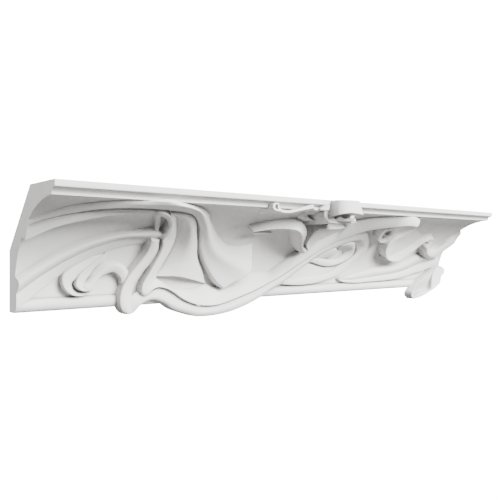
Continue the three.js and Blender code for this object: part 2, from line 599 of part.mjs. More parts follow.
function toManifold(geometry) {
  let g = geometry.clone();
  for (const name of Object.keys(g.attributes)) if (name !== 'position') g.deleteAttribute(name);
  g = mergeVertices(g, 1e-4);
  const tris = Uint32Array.from(g.index.array);
  if (volumeOf(g) < 0) for (let i = 0; i < tris.length; i += 3) [tris[i], tris[i + 1]] = [tris[i + 1], tris[i]];
  return new wasm.Manifold(new wasm.Mesh({
    numProp: 3, vertProperties: Float32Array.from(g.attributes.position.array), triVerts: tris,
  }));
}

const outline = new THREE.Shape(sectionPoints().map(([out, up]) => new THREE.Vector2(-out, up)));
const prism = new THREE.ExtrudeGeometry(outline, { depth: length, bevelEnabled: false });
// extruded along z with (y, z) drawn in its plane: turn so the drawing's plane stands across X
prism.applyMatrix4(new THREE.Matrix4().set(0, 0, 1, 0, 1, 0, 0, 0, 0, 1, 0, 0, 0, 0, 0, 1));
let solid = toManifold(prism);

const relief = [
  ...Object.values(strands).map(strandGeometry),
  ...Object.values(crest).map(crestGeometry),
];
// the relief keeps inside the cut ends, in front of the wall and under the ceiling
const limits = new THREE.BoxGeometry(length, projection * 2, height * 2);
limits.translate(length / 2, -projection, 0);
const room = toManifold(limits);
for (const geometry of relief) solid = solid.add(toManifold(geometry).intersect(room));

// slivers are merged, and only the outer skin is kept
const skins = solid.asOriginal().simplify(sliver).decompose();
const joined = skins.reduce((a, b) => (b.volume() > a.volume() ? b : a)).getMesh();
const geometry = new THREE.BufferGeometry();
geometry.setAttribute('position', new THREE.Float32BufferAttribute(Array.from(joined.vertProperties), 3));
geometry.setIndex(Array.from(joined.triVerts));
geometry.translate(-length / 2, 0, -wallSeat / 2);
geometry.computeVertexNormals();

const body = new THREE.Mesh(geometry, new THREE.MeshStandardMaterial({ color: 0xe9e7e2, roughness: 0.8 }));
body.name = 'cornice_section';
const part = new THREE.Group();
part.name = 'cornice_moulding';
part.add(body);
export default part;
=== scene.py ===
"""Cornice moulding section cast in gypsum plaster: a deep cove between a bottom roll and a
top fascia, overlaid with whiplash ribbons, bells, loops and curls.

Frame, metres: +X along the length, +Y into the wall, +Z up, origin at the middle of the flat
face that sits on the wall. Tables below are in millimetres from the left end and the bottom
edge; placed() brings them into the frame."""
import math

import bpy
import numpy as np
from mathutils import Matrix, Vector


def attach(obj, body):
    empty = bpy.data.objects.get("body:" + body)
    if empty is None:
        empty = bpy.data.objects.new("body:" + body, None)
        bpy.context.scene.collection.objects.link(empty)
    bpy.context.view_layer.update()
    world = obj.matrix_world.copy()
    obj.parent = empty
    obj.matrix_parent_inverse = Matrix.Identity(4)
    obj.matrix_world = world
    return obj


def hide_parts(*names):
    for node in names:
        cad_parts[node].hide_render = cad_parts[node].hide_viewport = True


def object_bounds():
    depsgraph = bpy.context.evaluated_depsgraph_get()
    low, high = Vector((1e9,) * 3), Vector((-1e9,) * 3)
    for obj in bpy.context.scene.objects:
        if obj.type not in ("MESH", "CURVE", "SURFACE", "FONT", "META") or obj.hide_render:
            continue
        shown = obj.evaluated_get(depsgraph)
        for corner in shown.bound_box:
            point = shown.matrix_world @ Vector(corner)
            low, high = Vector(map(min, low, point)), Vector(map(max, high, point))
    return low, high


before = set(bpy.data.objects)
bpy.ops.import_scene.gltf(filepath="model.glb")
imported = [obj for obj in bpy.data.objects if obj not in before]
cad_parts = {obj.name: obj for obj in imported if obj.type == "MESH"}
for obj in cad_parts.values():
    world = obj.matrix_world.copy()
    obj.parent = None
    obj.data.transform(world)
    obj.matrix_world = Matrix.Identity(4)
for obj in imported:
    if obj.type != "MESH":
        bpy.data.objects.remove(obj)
cad_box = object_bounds()

# Sizes of the plain moulding, mm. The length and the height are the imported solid's own.
WALL_SEAT, CEILING_SEAT = 100.0, 95.0
LENGTH = round(1000 * (cad_box[1][0] - cad_box[0][0]), 1)
HEIGHT = round(1000 * cad_box[1][2] + WALL_SEAT / 2, 1)
PROJECTION = 187.0              # wall face to the front of the fascia
FASCIA, CAVETTO, FILLET = 10.6, 6.0, 4.4
FILLET_SET = 12.0               # fillet face behind the fascia
COVE_LIP = 1.0                  # cove's top edge behind the fillet face
COVE_SPRING = 8.0               # cove axis in front of the cove's top edge
GROUND_OUT, GROUND_UP = 23.8, 28.0
ROLL_OUT, ROLL_UP, ROLL_TOP, ROLL_FOOT = 31.0, 11.0, 22.5, 14.0
FASCIA_ROUND, TOP_ROUND = 2.2, 1.2  # worn edges of the fascia, below and above
FASCIA_CENTRE = 2.0             # centre of the lower one over the fascia's underside
ROLL_ARC, FASCIA_ARC = (-85, 78), (-100, 0)     # degrees up from level outwards
ROLL_POINTS, COVE_POINTS, FASCIA_POINTS, TOP_POINTS = 22, 110, 8, 5
ELLIPSE_SAMPLES = 4001

# Worn corners and small curves of the section, as steps [out, up] from where each one sits
WALL_FOOT = [[0, 1.5], [0.5, 0.4], [1.5, 0]]
GROOVE = [[-1.3, 0], [-0.4, 0.3], [0, 1.0]]
FILLET_EDGE = [[-0.2, 0.1], [0, 0.5]]
CAVETTO_CURVE = [[0, -0.5], [0.3, 0], [2.0, 2.6], [4.2, 4.1], [7.0, 5.2]]

FASCIA_UNDER = HEIGHT - FASCIA
CAVETTO_UNDER = FASCIA_UNDER - CAVETTO
COVE_TOP = CAVETTO_UNDER - FILLET
FILLET_OUT = PROJECTION - FILLET_SET
COVE_TOP_OUT = FILLET_OUT - COVE_LIP
COVE_AXIS_OUT = COVE_TOP_OUT + COVE_SPRING
COVE_OUT = COVE_AXIS_OUT - GROUND_OUT
COVE_UP = (COVE_TOP - GROUND_UP) / math.sqrt(1 - ((COVE_AXIS_OUT - COVE_TOP_OUT) / COVE_OUT) ** 2)
COVE_SWEEP = math.asin((COVE_TOP - GROUND_UP) / COVE_UP)

# Sizes of the relief, mm
BED = 4.0                       # the relief runs this far into the ground
LIFT_CAP = math.radians(50)
STATION, CREST_STATION = 5.6, 2.6   # spacing of the cross sections
FEWEST_STATIONS = 8
COLUMN_WIDTH = 4.2              # aimed at across a strand
FEWEST_COLUMNS, MOST_COLUMNS = 4, 12
CREST_COLUMNS = 9
SOFTENING_ROUNDS = 2
LEAN_REACH = 1.25               # a leaning side wall runs this many times as far as an upright one
EDGE_ROUND = 2.2                # worn corner along a strand
END_ROUND = EDGE_ROUND * 0.8    # and at its ends
CREST_ROUND = 1.2
ROUND_SHARE = 0.45              # a corner takes at most this share of the way to its neighbour
CORNER_TURN = np.radians([90, 60, 30, 0])
FOOT_SHARES = (0, 0.05, 0.12, 0.2)
FRONT_LIMIT = 400.0             # clear of everything in front of the wall
SHARP_ANGLE = math.radians(32)
TINY = 1e-9                     # keeps a division off zero


def placed(out_of_table):
    """Millimetres from the left end and the bottom edge, to metres in the part's frame."""
    return (np.asarray(out_of_table) - [LENGTH / 2, 0.0, WALL_SEAT / 2]) * 0.001


def on_cove(angles):
    """Points of the cove's quarter ellipse, [out, up]: axis - half width x cosine of the angle,
    foot + half height x sine."""
    return np.stack([COVE_AXIS_OUT - COVE_OUT * np.cos(angles), GROUND_UP + COVE_UP * np.sin(angles)], -1)


# The quarter ellipse in fine steps, and the run up the face at each
ANGLES = np.linspace(0, math.pi / 2, ELLIPSE_SAMPLES)
ELLIPSE = on_cove(ANGLES)
RUNS = GROUND_UP + np.concatenate([[0], np.cumsum(np.linalg.norm(np.diff(ELLIPSE, axis=0), axis=1))])


def on_face(along, run, lift):
    """A point over the moulding's face. The run climbs the upright ground, then the quarter
    ellipse of the cove by arc length; the lift leaves it square to the face, and never
    steeper than LIFT_CAP below level."""
    out = np.where(run < GROUND_UP, GROUND_OUT, np.interp(run, RUNS, ELLIPSE[:, 0]))
    up = np.where(run < GROUND_UP, run, np.interp(run, RUNS, ELLIPSE[:, 1]))
    angle = np.interp(run, RUNS, ANGLES)
    tilt = np.minimum(np.arctan2(np.sin(angle) / COVE_UP, np.cos(angle) / COVE_OUT), LIFT_CAP)
    tilt = np.where(run < GROUND_UP, 0.0, tilt)
    return np.stack([along + 0 * out, -(out + lift * np.cos(tilt)), up - lift * np.sin(tilt)], -1)


# Relief strands: rails running their length, with knots of [along, run up the face, lift];
# bulge is the extra lift halfway between two rails, spread over the length; lean is how far
# the side walls fall back level instead of square to the ground; bed, where given, is the
# height of the back over the ground. The knots aren't worked out from sizes: they were picked
# on the photograph with a judged lift, and another program projected them onto the face,
# thinned them out, rounded them to half a millimetre and wrote this table.
STRANDS = {
    "upper_rib_flare": {
        "rails": [
            [[-11, 157, 0], [26, 189, 0.5], [49, 211.5, 1], [74, 227, 1.5], [118.5, 251.5, 1.5],
             [155, 261.5, 1.5], [190.5, 269, 1.5], [240, 254, 1.5], [305, 215, 2], [334, 180, 2],
             [429, 113.5, 2], [468.5, 121.5, 4]],
            [[-11, 154.5, 3], [38.5, 195, 4.5], [129, 247.5, 7.5], [194.5, 258.5, 9], [232.5, 258, 11],
             [310, 192, 19], [336, 155.5, 22], [359, 122, 26], [442, 71, 36], [460.5, 59, 39]],
            [[-11, 150, 6], [3, 162, 6], [65.5, 204.5, 9], [97.5, 224, 11], [162.5, 240.5, 13],
             [206, 236.5, 13], [238, 233, 14], [316.5, 157, 16], [329.5, 123.5, 17], [373, 55, 21],
             [388.5, 36, 22], [403, 24, 22]],
        ],
        "bulge": [[0, 0, 1.5, 3], [0, 0, 0, -3]], "lean": [0, 1],
    },
    "lower_rib_bell": {
        "rails": [
            [[-10.5, 149, 6], [29, 176.5, 7.5], [103, 213, 9], [215, 223.5, 11], [260.5, 215.5, 12],
             [319.5, 139, 13], [338, 91.5, 12], [363.5, 51, 7], [370.5, 34.5, 4]],
            [[-11.5, 143, 10], [84.5, 198, 11], [144, 216.5, 12], [249.5, 206.5, 16], [299.5, 126, 20],
             [300, 93.5, 21], [296, 70, 21], [296.5, 55, 20]],
            [[-15, 123.5, 16], [0.5, 135, 16], [31.5, 162, 15.5], [86.5, 191, 14.5], [114.5, 203.5, 14],
             [146.5, 210, 14], [200, 214, 14], [243, 196, 11], [267, 160, 7], [278.5, 119, 4],
             [263.5, 67, 4], [251.5, 53.5, 6]],
        ],
        "bulge": [[-1.5, -1, 2, 3], [0, 0, -4, 1]], "lean": [0, 1],
    },
    "middle_rib": {
        "rails": [
            [[-8, 53, 1], [66, 106.5, 1], [169.5, 148, 2], [204, 154.5, 4], [226, 161, 10],
             [238, 155.5, 12]],
            [[-18.5, 37.5, 21.5], [15.5, 66.5, 20.5], [165.5, 147.5, 14], [238, 152, 16]],
            [[-11.5, 22.5, 9], [37, 59.5, 8], [137.5, 120.5, 7], [173, 134, 7], [217, 135.5, 7],
             [241, 136.5, 9], [246.5, 143, 12]],
        ],
        "bulge": [[3, 3, 2, 1], [3, 3, 2, 1]], "lean": [0, 1],
    },
    "lower_rib": {
        "rails": [
            [[-11, 23.5, 8.5], [37, 60, 7.5], [138, 120.5, 6], [173, 134, 6], [222, 136, 6]],
            [[-14, -3, 8.5], [23, 22, 7.5], [71.5, 59, 3.5], [181, 114, 3], [232, 124, 3]],
        ],
        "bulge": [[1.5, 1, 0.5, 0]], "lean": [0, 1],
    },
    "hoop_ring": {
        "rails": [
            [[189, 226, 15], [195.5, 229.5, 17], [208.5, 225, 19], [226.5, 208, 20], [240, 186.5, 20],
             [246, 155, 19], [240, 142.5, 15]],
            [[198.5, 209.5, 15], [204, 213.5, 17], [215, 206.5, 19], [237, 177, 19.5], [236, 157, 18],
             [230.5, 148, 13]],
        ],
        "bulge": [[1, 1, 1, 1]], "lean": [0, 0],
    },
    "hoop_lip": {
        "rails": [
            [[186.5, 223.5, 13], [208.5, 188, 13], [216.5, 173, 13], [221, 159, 12]],
            [[195.5, 225, 13], [208, 204.5, 12], [226.5, 168.5, 9], [228, 158.5, 11]],
        ],
        "bulge": [[0, 0, 0, 0]], "lean": [0, 0],
    },
    "hook_left_strand": {
        "rails": [
            [[218, 142.5, 18], [219.5, 124.5, 19], [178, 29, 20], [175.5, 18, 20], [182, -8.5, 17],
             [190, -13.5, 14]],
            [[243, 138, 8], [250, 113.5, 8], [239, 82, 9], [226.5, 66, 10], [217.5, 50.5, 10],
             [210, 38.5, 9], [203.5, 0.5, 11], [203, -8.5, 12], [198.5, -14, 13]],
        ],
        "bulge": [[5, 5, 6, 5]], "lean": [0, 0],
    },
    "hook_right_strand": {
        "rails": [
            [[213.5, 226, 17], [228.5, 200, 20], [243, 158, 20], [239.5, 147, 20], [245, 128, 20],
             [232, 68, 22], [218.5, 34, 21], [218.5, 25.5, 20], [225.5, 17, 17]],
            [[241.5, 205.5, 11], [255, 183, 9], [275.5, 131, 8], [259.5, 69, 10], [254.5, 59, 10],
             [253.5, 47, 10], [250, 37.5, 13], [240, 25, 16]],
        ],
        "bulge": [[2, 2, 3, 3]], "lean": [0, 0],
    },
    "small_scroll_back": {
        "rails": [
            [[132, 96, 4], [127.5, 95, 5], [103, 83, 7], [85.5, 73, 9], [74, 63, 12], [77, 37.5, 14],
             [92.5, 25, 13], [115.5, 24, 9], [127, 29, 7]],
            [[149, 98, 3], [107.5, 64.5, 9], [100, 55, 9], [92.5, 48.5, 8], [98, 33.5, 5], [115, 28.5, 5],
             [128, 30.5, 5]],
        ],
        "bulge": [[0, 1, 2, 2]], "lean": [0, 0],
    },
    "small_scroll_turn": {
        "rails": [
            [[147.5, 100.5, 5], [127.5, 85, 10], [97.5, 56, 16.5], [95, 45, 17], [105.5, 32.5, 17],
             [115, 31, 17]],
            [[152, 81.5, 3], [139, 77, 4], [121, 56.5, 8], [111, 46, 10], [110, 45.5, 10.5],
             [112, 45.5, 11.5]],
        ],
        "bulge": [[0, 0, 1, 2]], "lean": [0, 0],
    },
    "small_scroll_arch": {
        "rails": [
            [[110.5, 45.5, 10], [115.5, 48, 8], [130.5, 68, 5], [149, 83.5, 4], [186, 77.5, 6],
             [199.5, 57.5, 9], [198.5, 41, 9]],
            [[110, 40, 17.5], [117, 42.5, 17.5], [123.5, 49, 17], [138, 65, 16], [145, 73.5, 16],
             [167, 82.5, 16], [186.5, 69, 16], [190, 56, 15], [187.5, 40, 13]],
            [[113, 30.5, 16], [121.5, 31.5, 16], [141.5, 57.5, 13], [150, 61.5, 12], [162.5, 66, 13],
             [179, 52.5, 13], [182.5, 40, 12]],
        ],
        "bulge": [[0, -1, 0, 0], [0, 0, 1, 1]], "lean": [0, 0],
    },
    "whiplash_upper": {
        "rails": [
            [[236.5, 42, 14], [250.5, 50.5, 9], [264, 45, 7], [289, 32, 5], [307.5, 29, 4], [332, 26, 4],
             [351.5, 29, 3], [371, 34, 2], [388, 29, 2], [460.5, 45, 1], [491, 55, 2], [514, 55, 3],
             [531.5, 54, 3], [563, 72.5, 6], [586.5, 90, 8], [599.5, 101.5, 9], [614.5, 112, 10],
             [646, 149, 12], [685.5, 176, 12], [694, 202.5, 11], [709, 209.5, 9], [726.5, 221.5, 7],
             [821, 252.5, 2], [854, 262, 2], [903, 248.5, 3]],
            [[224, 18, 20], [229.5, 21, 22], [248, 33, 22], [285.5, 22.5, 23], [300, 12, 24],
             [333, -3, 26], [364, -7.5, 27], [439.5, 6, 27], [549.5, 47, 26], [605.5, 83.5, 25],
             [678, 135.5, 22], [698.5, 153, 22], [723, 166, 21], [765.5, 193, 21], [792, 204, 22],
             [814, 212, 23], [829, 227, 25], [848.5, 239, 26], [885, 236, 27]],
        ],
        "bulge": [[2, 4, 3, 3]], "lean": [0, 1],
    },
    "whiplash_lower": {
        "rails": [
            [[219, 26.5, 9], [225, 18.5, 13], [243.5, 25.5, 14], [262, 32.5, 14], [277.5, 28, 14],
             [321, 1, 17], [369.5, -9, 19], [446, 4.5, 19], [556, 44, 19], [683.5, 128.5, 17],
             [705.5, 144.5, 16.5], [753, 169.5, 15], [775, 177, 13]],
            [[201, 18.5, 12], [210.5, 9.5, 17], [221, 12, 20], [240, 16.5, 20], [264, 11.5, 20],
             [277, 4.5, 21], [354.5, -17.5, 25], [403.5, -13, 25], [480.5, 8, 25], [570, 44.5, 23],
             [611.5, 72.5, 22], [641, 96, 20.5], [768, 158, 15.5], [789.5, 164.5, 14]],
            [[194.5, -13.5, 13], [201, -13.5, 14], [221, 2.5, 15], [243, 9.5, 15], [267.5, 1.5, 15],
             [280, -7, 16], [319, -22, 17], [337, -27, 18], [359.5, -28.5, 18], [508, 4, 18], [531, 15, 17],
             [564.5, 27.5, 16], [598.5, 48.5, 15], [621.5, 62.5, 14], [699.5, 112, 13], [718, 120, 13],
             [727, 128, 14], [774.5, 145.5, 14.5], [797.5, 141.5, 13.5]],
        ],
        "bulge": [[-1, -1.5, -1.5, 0], [1, 2, 1.5, 0.5]], "lean": [0, 0],
    },
    "centre_curl_left": {
        "rails": [
            [[431, 174, 9], [464.5, 188.5, 4], [517, 203.5, 8], [533, 207, 14], [562, 186.5, 30],
             [563.5, 178, 33], [597, 128.5, 29], [611.5, 120, 26]],
            [[433, 173, 20], [494.5, 192, 24], [515, 202, 32], [546.5, 181.5, 38], [557, 166.5, 38],
             [584, 128.5, 32], [600, 114, 28]],
        ],
        "bulge": [[1, 2, 2, 2]], "lean": [0, 1],
    },
    "centre_curl_right": {
        "rails": [
            [[618, 118, 22], [601, 137, 26], [589.5, 166, 28], [586.5, 190, 27], [592.5, 197.5, 26],
             [609, 197.5, 24], [676, 190, 15], [706.5, 191.5, 9]],
            [[639, 114.5, 17], [631, 126.5, 17], [638.5, 144, 16], [649, 148, 15], [711, 186.5, 10]],
        ],
        "bulge": [[-2, -2, -1, 0]], "lean": [0, 0],
    },
    "loop_outer": {
        "rails": [
            [[564, 27.5, 9], [597, 23.5, 10], [730, 35.5, 11], [763.5, 46, 11], [807, 78, 12],
             [819.5, 90, 12.5], [828, 112, 13.5], [796, 164, 14], [776.5, 175.5, 13]],
            [[565.5, 32.5, 10.5], [595.5, 30, 11.5], [625.5, 31, 12], [749.5, 54, 12], [802.5, 93.5, 13],
             [812, 104.5, 13.5], [816, 116, 14], [776, 144.5, 13.5], [761, 141.5, 13]],
            [[568.5, 39.5, 10], [627, 40.5, 10], [721, 52, 10], [751.5, 67, 10], [781, 81.5, 9],
             [802.5, 103.5, 6], [793, 122, 6], [783, 128.5, 7]],
        ],
        "bulge": [[0.5, 0.5, 0.5, 0], [0.5, 0.5, 0, -3]], "lean": [1, 0],
    },
    "loop_floor": {
        "rails": [
            [[585.5, 35, 5], [679.5, 36.5, 6], [781.5, 79, 6], [795.5, 90.5, 5]],
            [[615.5, 64.5, 5], [635.5, 71.5, 5], [699.5, 64, 5], [734.5, 62.5, 5], [764, 69.5, 5],
             [785, 81, 5]],
        ],
        "bulge": [[1, 1, 1, 1]], "lean": [0, 0],
    },
    "loop_inner": {
        "rails": [
            [[649, 78, 9], [720, 66, 11], [770, 82.5, 13.5], [780.5, 90, 14], [765.5, 137.5, 16],
             [743, 136, 15]],
            [[657.5, 87, 10], [688, 79.5, 11], [748.5, 81.5, 12.5], [774.5, 100.5, 14.5],
             [775.5, 113, 15.5], [742.5, 126.5, 15], [729.5, 123.5, 14]],
            [[664, 86.5, 7], [684.5, 88.5, 7], [707, 84, 7], [757.5, 90.5, 3], [763.5, 96.5, 2],
             [761, 102.5, 2], [739, 109, 4]],
        ],
        "bulge": [[0.8, 0.8, 0.8, 0.5], [0.5, 0.5, -2.5, -2.5, -1]], "lean": [0, 0],
    },
    "loop_eye": {
        "rails": [
            [[672, 88, 8], [697.5, 113.5, 14], [708.5, 119, 14.5], [719.5, 116.5, 14]],
            [[683.5, 86, 7.5], [701.5, 87, 9], [724.5, 96.5, 12], [726.5, 106, 13]],
        ],
        "bulge": [[1, 2, 2.5, 2]], "lean": [0, 0],
    },
    "small_spiral": {
        "rails": [
            [[895, 174, 24], [871, 159.5, 26], [857.5, 151, 26], [842, 151, 26], [814.5, 182, 25],
             [810, 197.5, 24], [827.5, 207.5, 21], [845, 200.5, 21], [859, 189.5, 21], [868, 166.5, 20],
             [860.5, 163.5, 19]],
            [[899, 172, 17], [875.5, 160.5, 19], [862.5, 156, 20], [842.5, 161, 21], [835, 186, 19],
             [848, 191.5, 18], [862.5, 175, 18], [862, 170.5, 17], [857, 169.5, 17]],
        ],
        "bulge": [[0, 0, 0, 0]], "lean": [0, 0],
    },
    "ribbon_turn": {
        "rails": [
            [[986, 184.5, -2], [919.5, 160, 15], [896, 152.5, 20], [884, 142, 25], [881.5, 127, 29],
             [901.5, 95.5, 30], [916, 86.5, 30]],
            [[1083.5, 154, -3], [1042.5, 144.5, 2], [1000.5, 117, 8], [952, 102, 16], [922, 100, 21]],
        ],
        "bulge": [[-1, -2, -2, 0]], "lean": [0, 0],
    },
    "ribbon_arm": {
        "rails": [
            [[915, 100, 22], [948, 104, 18.5], [993, 120.5, 12.5], [1030.5, 150.5, 8], [1060.5, 165, 7]],
            [[909.5, 90.5, 29], [932.5, 82.5, 28], [991, 99.5, 23], [1003, 110.5, 22], [1027.5, 129.5, 20],
             [1034, 143, 20], [1064, 159, 18], [1084.5, 150.5, 18]],
        ],
        "bulge": [[0, 0.5, 1, 1]], "lean": [0, 0.6],
    },
    "end_hook": {
        "rails": [
            [[1063, 128.5, 27], [1081, 121, 22], [1107, 119.5, 13], [1140, 126, 4.5], [1165.5, 148.5, 3],
             [1177.5, 165, 3], [1183.5, 183, 3]],
            [[1060, 123.5, 28.5], [1077.5, 111, 28], [1114.5, 121, 21], [1162.5, 143, 13],
             [1184.5, 152, 11], [1194.5, 170, 10]],
            [[1056, 127.5, 28], [1057.5, 118, 29], [1067, 107.5, 29], [1115, 97, 26], [1132.5, 102, 23],
             [1176, 122, 16.5], [1207.5, 156.5, 14]],
        ],
        "bulge": [[0.5, 1.5, 2, 2], [1, 1.5, 1.5, 1.5]], "lean": [0, 0],
    },
    "tongue_upper": {
        "rails": [
            [[773.5, 37, 2], [895, 58, 3], [990, 69, 3], [1027, 80, 5], [1044, 90, 9], [1060.5, 93, 11],
             [1082.5, 88, 12], [1106, 85, 13], [1140.5, 86.5, 12]],
            [[758.5, 35, 9], [800, 36.5, 11], [850.5, 44, 12], [991, 60, 15], [1054, 78.5, 16],
             [1140.5, 86, 13]],
            [[757.5, 32, 7], [800, 29, 8], [879, 34, 8], [1007, 46.5, 8], [1117, 76.5, 9],
             [1146.5, 82.5, 11]],
        ],
        "bulge": [[1, 1.5, 1.5, 0.5], [1, 1, 1.5, 0.5]], "lean": [0, 0],
    },
    "tongue_lower": {
        "rails": [
            [[758.5, 33, 6], [801, 30, 7], [880.5, 35, 7], [1007.5, 47.5, 7.5], [1116, 78.5, 9],
             [1142.5, 85, 12], [1157.5, 82.5, 14]],
            [[755.5, 33, 7], [762.5, 28, 8], [801.5, 21, 9.5], [874, 21, 9.5], [1018.5, 29.5, 9.5],
             [1063, 38.5, 10], [1096.5, 43.5, 10], [1123, 51, 11], [1170.5, 57.5, 13]],
        ],
        "bulge": [[2, 2.5, 3, 3]], "lean": [0, 1],
    },
    "hanging_leaf": {
        "rails": [
            [[1146, 62, 22], [1125, 43.5, 25], [1100, 32, 27], [1040.5, 0.5, 28], [1026, -14, 27],
             [1027, -22, 25]],
            [[1145.5, 59, 24], [1126, 41.5, 26], [1119.5, 22.5, 22], [1121, 7, 15], [1115.5, -6, 9],
             [1098, -9, 8], [1080, -11, 9], [1033.5, -24.5, 23]],
            [[1145, 58.5, 25], [1123.5, 42.5, 28], [1115.5, 7.5, 29], [1116, -5, 28], [1086, -9.5, 27],
             [1056.5, -12, 27], [1039, -20.5, 26], [1033.5, -27, 24]],
            [[1149.5, 63, 26], [1167.5, 58.5, 30], [1171, 50, 33], [1168, 37.5, 34], [1155.5, 26.5, 34],
             [1152.5, 15, 34], [1140, 3.5, 33], [1111.5, -10, 31], [1054.5, -27.5, 27], [1038.5, -29.5, 25]],
        ],
        "bulge": [[-0.5, -2, -2, 0], [0, 0, 0, 0], [-1, -6, -1, 0]], "lean": [0, 0],
        "bed": 2.5,
    },
    "centre_curl_rim": {
        "rails": [
            [[442.5, 163.5, 15], [454, 164, 14], [484.5, 159.5, 9], [506, 152, 4]],
            [[448, 157.5, 14], [472, 157.5, 11], [488.5, 153.5, 8], [510, 147, 3]],
        ],
        "bulge": [[0, 0]], "lean": [0, 0],
    },
    "end_hook_wall": {
        "rails": [
            [[1087.5, 130.5, 1], [1069.5, 119.5, 1], [1063, 108.5, 1.5], [1077, 87.5, 5], [1096, 81.5, 8],
             [1115, 79, 12], [1140, 81.5, 14]],
            [[1107, 131, 6], [1077.5, 131.5, 17], [1059.5, 128.5, 26], [1059.5, 117.5, 28.5],
             [1068, 107.5, 28.5], [1094, 96.5, 27.5], [1116, 96.5, 25.5]],
        ],
        "bulge": [[1, 3, 3, 1]], "lean": [0, 0],
    },
}

# Shell and crest over the fillet and fascia: knots of [along, out, up], and how far each runs back.
# These were picked with a judged distance out, and made into a table in the same way, but not
# thinned out.
CREST = {
    "shell_drum": {
        "depth": [70, 105], "rails": [
            [[561.5, 194, 199], [562, 205, 199], [569, 213, 199], [585, 218.5, 199], [608, 221.5, 199]],
            [[565.5, 192, 168], [564.5, 203, 169.5], [571, 211.5, 171.5], [585.5, 218, 173.5],
             [601.5, 221, 172.5], [618.5, 222.5, 171]],
        ],
    },
    "shell_lip": {
        "depth": [95, 105], "rails": [
            [[577.5, 180, 162], [582, 186, 164], [583.5, 190, 168], [586, 193, 167.5], [588.5, 196, 164],
             [597.5, 200, 163.5], [617.5, 203, 165]],
            [[577.5, 180, 159.5], [583.5, 186, 159], [588, 190, 158.5], [592.5, 194, 158.5],
             [600, 198, 158.5], [611.5, 201, 159], [619.5, 203, 158]],
        ],
    },
    "shell_neck": {
        "depth": [90, 95], "rails": [
            [[581, 180, 169.5], [593.5, 185, 172.5], [609, 190, 174.5], [627, 193, 173.5]],
            [[583.5, 178, 162], [596, 183, 163.5], [611.5, 188, 163.5], [626.5, 191, 164.5]],
        ],
    },
    "shell_lobe": {
        "depth": [85, 90], "rails": [
            [[573.5, 183, 183], [575.5, 181, 176], [577, 182, 167.5], [582.5, 183, 163],
             [593.5, 185, 160.5], [611.5, 188, 159.5], [630, 192, 159.5]],
            [[553.5, 178, 176.5], [554, 176, 170], [559, 176, 163], [564.5, 178, 157], [577, 181, 154.5],
             [601.5, 186, 155.5], [632.5, 191, 157]],
        ],
    },
    "crest_ribbon": {
        "depth": [64, 64], "rails": [
            [[419, 190, 185.5], [420.5, 190, 180], [425, 190, 176], [434.5, 190, 175], [449, 189, 175],
             [463.5, 188, 177], [476.5, 189, 180.5], [490, 190, 184], [499.5, 191, 186.5], [508, 192, 188]],
            [[415.5, 190, 185.5], [416.5, 190, 179], [418.5, 190, 174.5], [423, 190, 171.5],
             [433.5, 189, 169.5], [451.5, 188, 170.5], [468.5, 188, 173.5], [485.5, 189, 177],
             [502.5, 190, 180], [508, 192, 181]],
        ],
    },
    "crest_hook": {
        "depth": [50, 50], "rails": [
            [[419, 190, 187], [411.5, 190, 186.5], [405.5, 190, 183.5], [404, 190, 179.5],
             [406.5, 190, 175], [413, 190, 172.5], [421.5, 190, 171.5]],
            [[419, 190, 184.5], [413.5, 190, 184.5], [410, 190, 182], [409, 190, 179.5], [411, 190, 177],
             [414, 190, 175.5], [420.5, 190, 174.5]],
        ],
    },
    "crest_leaf": {
        "depth": [55, 55], "rails": [
            [[530.5, 187, 181], [539.5, 190, 186.5], [547, 193, 189.5], [553, 193, 188]],
            [[532.5, 186, 179], [538.5, 188, 179], [545.5, 190, 178.5], [552, 191, 179.5]],
        ],
    },
    "crest_tip": {
        "depth": [50, 50], "rails": [
            [[512, 187, 184], [518, 188, 183.5], [523.5, 188, 181]],
            [[513, 186, 179.5], [518, 187, 178], [523.5, 187, 178]],
        ],
    },
    "side_spiral": {
        "depth": [32, 32], "rails": [
            [[565, 168, 179.5], [546, 164, 178.5], [532, 158, 178], [525.5, 152, 176], [523.5, 147, 172],
             [528, 143, 167], [537, 142, 163], [549.5, 144, 161], [564.5, 149, 160.5], [577.5, 156, 161]],
            [[568, 165, 176.5], [556, 160, 175.5], [549, 154, 173.5], [547, 147, 172.5],
             [545.5, 141, 172.5], [549, 137, 169.5], [553, 138, 166.5], [557, 141, 164],
             [566.5, 147, 162.5], [580, 154, 163]],
        ],
    },
}


def spline(knots, count):
    """Hermite curve through the knots: each tangent is the mean of the slopes on both sides,
    weighted by nearness, and samples stand at equal shares of the chord length."""
    knots = np.asarray(knots, float)
    chord = np.linalg.norm(np.diff(knots[:, :2], axis=0), axis=1)
    at = np.concatenate([[0], np.cumsum(chord)])
    at /= at[-1]
    slope = np.diff(knots, axis=0) / np.diff(at)[:, None]
    before, after = np.diff(at)[:-1, None], np.diff(at)[1:, None]
    middle = (slope[:-1] * after + slope[1:] * before) / (before + after)
    tangent = np.vstack([slope[:1], middle, slope[-1:]])
    share = np.linspace(0, 1, count)
    i = np.clip(np.searchsorted(at, share, "right") - 1, 0, len(at) - 2)
    h = (at[i + 1] - at[i])[:, None]
    w = (share - at[i])[:, None] / h
    return ((2 * w**3 - 3 * w**2 + 1) * knots[i] + (w**3 - 2 * w**2 + w) * h * tangent[i]
            + (3 * w**2 - 2 * w**3) * knots[i + 1] + (w**3 - w**2) * h * tangent[i + 1])


def rail_length(knots):
    """Length from knot to knot over the first two coordinates, the third left out."""
    return np.linalg.norm(np.diff(np.asarray(knots, float)[:, :2], axis=0), axis=1).sum()


def sample_rails(rails, spacing):
    """The rails' splines side by side, with samples about the spacing apart on the longest."""
    longest = max(rail_length(r) for r in rails)
    count = max(FEWEST_STATIONS, int(round(longest / spacing)) + 1)
    return np.stack([spline(r, count) for r in rails], 1)


